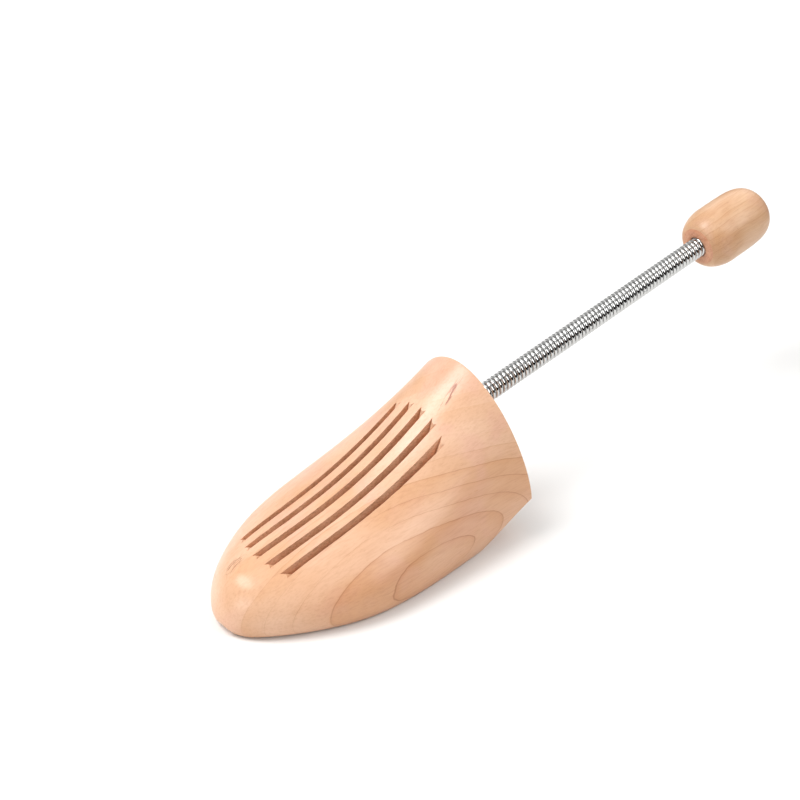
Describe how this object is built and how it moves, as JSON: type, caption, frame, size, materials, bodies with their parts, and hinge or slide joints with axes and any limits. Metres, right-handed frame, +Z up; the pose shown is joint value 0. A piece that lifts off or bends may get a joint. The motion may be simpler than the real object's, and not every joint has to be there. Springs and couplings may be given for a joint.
{
  "type": "shoe tree",
  "caption": "Spring shoe tree for one shoe: solid wooden forepart with vent slots, coil spring and turned wooden heel knob.",
  "frame": {"origin": "on the flat sole of the forepart, 62 mm behind the toe tip along Y", "axes": "+Z up from the sole, -Y towards the toe, +Y towards the heel knob, +X towards the flank that the toe leans to"},
  "size_m": [0.0823, 0.3269, 0.0969],
  "materials": {
    "red_wood": "sanded smooth, unvarnished, pale reddish with curly grain",
    "pale_wood": "turned and sanded smooth, unvarnished, pale yellow",
    "spring_wire": "bright chrome-plated round spring wire",
    "stud_steel": "plain zinc-plated steel"
  },
  "bodies": {
    "forepart": {"forepart": "red_wood", "fore_stud": "stud_steel", "coil_spring_1": "spring_wire"},
    "spring_length_2": {"coil_spring_2": "spring_wire"},
    "spring_length_3": {"coil_spring_3": "spring_wire"},
    "spring_length_4": {"coil_spring_4": "spring_wire"},
    "spring_length_5": {"coil_spring_5": "spring_wire"},
    "spring_length_6": {"coil_spring_6": "spring_wire"},
    "spring_length_7": {"coil_spring_7": "spring_wire"},
    "spring_length_8": {"coil_spring_8": "spring_wire"},
    "knob": {"heel_knob": "pale_wood", "knob_stud": "stud_steel", "coil_spring_9": "spring_wire"}
  },
  "joints": [
    {"name": "bend_up_down_1", "type": "hinge", "parent": "forepart", "child": "spring_length_2", "pos_m": [0, 0.08714, 0.04917], "axis": [1, 0, 0], "range_deg": [-15, 15], "stiffness_Nm_per_rad": 0.9, "deforming": ["coil_spring_1"]},
    {"name": "bend_sideways_1", "type": "hinge", "parent": "spring_length_2", "child": "spring_length_3", "pos_m": [0, 0.10466, 0.05274], "axis": [0, -0.1994, 0.9799], "range_deg": [-11, 11], "stiffness_Nm_per_rad": 0.9, "deforming": ["coil_spring_2"]},
    {"name": "bend_up_down_2", "type": "hinge", "parent": "spring_length_3", "child": "spring_length_4", "pos_m": [0, 0.12218, 0.0563], "axis": [1, 0, 0], "range_deg": [-15, 15], "stiffness_Nm_per_rad": 0.9, "deforming": ["coil_spring_3"]},
    {"name": "bend_sideways_2", "type": "hinge", "parent": "spring_length_4", "child": "spring_length_5", "pos_m": [0, 0.1397, 0.05987], "axis": [0, -0.1994, 0.9799], "range_deg": [-11, 11], "stiffness_Nm_per_rad": 0.9, "deforming": ["coil_spring_4"]},
    {"name": "bend_up_down_3", "type": "hinge", "parent": "spring_length_5", "child": "spring_length_6", "pos_m": [0, 0.15723, 0.06343], "axis": [1, 0, 0], "range_deg": [-15, 15], "stiffness_Nm_per_rad": 0.9, "deforming": ["coil_spring_5"]},
    {"name": "bend_sideways_3", "type": "hinge", "parent": "spring_length_6", "child": "spring_length_7", "pos_m": [0, 0.17475, 0.067], "axis": [0, -0.1994, 0.9799], "range_deg": [-11, 11], "stiffness_Nm_per_rad": 0.9, "deforming": ["coil_spring_6"]},
    {"name": "bend_up_down_4", "type": "hinge", "parent": "spring_length_7", "child": "spring_length_8", "pos_m": [0, 0.19227, 0.07056], "axis": [1, 0, 0], "range_deg": [-15, 15], "stiffness_Nm_per_rad": 0.9, "deforming": ["coil_spring_7"]},
    {"name": "bend_sideways_4", "type": "hinge", "parent": "spring_length_8", "child": "knob", "pos_m": [0, 0.20979, 0.07413], "axis": [0, -0.1994, 0.9799], "range_deg": [-11, 11], "stiffness_Nm_per_rad": 0.9, "deforming": ["coil_spring_8", "coil_spring_9"]}
  ],
  "couplings": [
    {"joint": "bend_up_down_2", "follows": "bend_up_down_1", "ratio": 1},
    {"joint": "bend_sideways_2", "follows": "bend_sideways_1", "ratio": 1},
    {"joint": "bend_up_down_3", "follows": "bend_up_down_1", "ratio": 1},
    {"joint": "bend_sideways_3", "follows": "bend_sideways_1", "ratio": 1},
    {"joint": "bend_up_down_4", "follows": "bend_up_down_1", "ratio": 1},
    {"joint": "bend_sideways_4", "follows": "bend_sideways_1", "ratio": 1}
  ]
}
